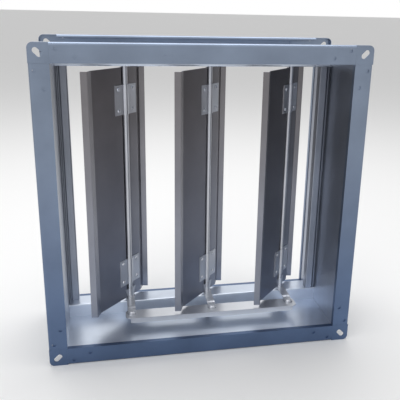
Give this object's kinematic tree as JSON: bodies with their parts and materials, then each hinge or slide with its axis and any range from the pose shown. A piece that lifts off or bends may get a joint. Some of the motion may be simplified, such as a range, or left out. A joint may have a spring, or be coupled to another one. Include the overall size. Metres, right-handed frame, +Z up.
{
  "type": "smoke exhaust damper",
  "caption": "Square flanged duct casing with vertical pivoting blades that turn together through cranks and a tie bar under the opening's foot.",
  "frame": {"origin": "under the middle of the casing, at the foot of the flanges", "axes": "+X across the opening to the right, +Y along the duct from the front face to the rear face, +Z up along the blade shafts"},
  "size_m": [0.564, 0.21, 0.564],
  "materials": {
    "casing_sheet": "galvanised sheet, soft sheen",
    "flange_rail": "galvanised roll-formed sheet, soft sheen",
    "corner_piece": "zinc plated pressing",
    "stop_sheet": "galvanised sheet, soft sheen",
    "blade_sheet": "galvanised sheet, dull",
    "bracket": "zinc plated, bright",
    "shaft": "zinc plated bar",
    "clip": "spring steel",
    "rivet": "bright",
    "pin": "zinc plated",
    "tie_bar": "galvanised sheet",
    "bush": "sintered bronze"
  },
  "bodies": {
    "casing": {"panel_bottom": "casing_sheet", "panel_top": "casing_sheet", "panel_left": "casing_sheet", "panel_right": "casing_sheet", "front_rail_bottom": "flange_rail", "front_rail_left": "flange_rail", "front_rail_top": "flange_rail", "front_rail_right": "flange_rail", "rear_rail_bottom": "flange_rail", "rear_rail_left": "flange_rail", "rear_rail_top": "flange_rail", "rear_rail_right": "flange_rail", "front_corner_bottom_left": "corner_piece", "front_corner_bottom_right": "corner_piece", "front_corner_top_left": "corner_piece", "front_corner_top_right": "corner_piece", "rear_corner_bottom_left": "corner_piece", "rear_corner_bottom_right": "corner_piece", "rear_corner_top_left": "corner_piece", "rear_corner_top_right": "corner_piece", "stop_bottom": "stop_sheet", "stop_top": "stop_sheet", "stop_left": "stop_sheet", "stop_right": "stop_sheet", "bushes_bottom": "bush", "bushes_top": "bush"},
    "blade_leaf_1": {"blade_1": "blade_sheet", "shaft_1": "shaft", "shaft_clips_1": "clip", "clamp_high_1": "bracket", "clamp_low_1": "bracket", "crank_1": "bracket", "blade_rivets_1": "rivet", "crank_pin_1": "pin"},
    "blade_leaf_2": {"blade_2": "blade_sheet", "shaft_2": "shaft", "shaft_clips_2": "clip", "clamp_high_2": "bracket", "clamp_low_2": "bracket", "crank_2": "bracket", "blade_rivets_2": "rivet", "crank_pin_2": "pin"},
    "blade_leaf_3": {"blade_3": "blade_sheet", "shaft_3": "shaft", "shaft_clips_3": "clip", "clamp_high_3": "bracket", "clamp_low_3": "bracket", "crank_3": "bracket", "blade_rivets_3": "rivet", "crank_pin_3": "pin"},
    "link": {"tie_bar": "tie_bar"}
  },
  "joints": [
    {"name": "blade_1_turn", "type": "hinge", "parent": "casing", "child": "blade_leaf_1", "pos_m": [-0.132, 0.031, 0.2865], "axis": [0, 0, 1], "range_deg": [-47.5, 42.5]},
    {"name": "blade_2_turn", "type": "hinge", "parent": "casing", "child": "blade_leaf_2", "pos_m": [0.024, 0.031, 0.2865], "axis": [0, 0, 1], "range_deg": [-47.5, 42.5]},
    {"name": "blade_3_turn", "type": "hinge", "parent": "casing", "child": "blade_leaf_3", "pos_m": [0.18, 0.031, 0.2865], "axis": [0, 0, 1], "range_deg": [-47.5, 42.5]},
    {"name": "tie_bar_turn", "type": "hinge", "parent": "blade_leaf_1", "child": "link", "pos_m": [-0.132, -0.034, 0.055], "axis": [0, 0, 1], "range_deg": [-42.5, 47.5]}
  ],
  "couplings": [
    {"joint": "blade_2_turn", "follows": "blade_1_turn", "ratio": 1},
    {"joint": "blade_3_turn", "follows": "blade_1_turn", "ratio": 1},
    {"joint": "tie_bar_turn", "follows": "blade_1_turn", "ratio": -1}
  ]
}
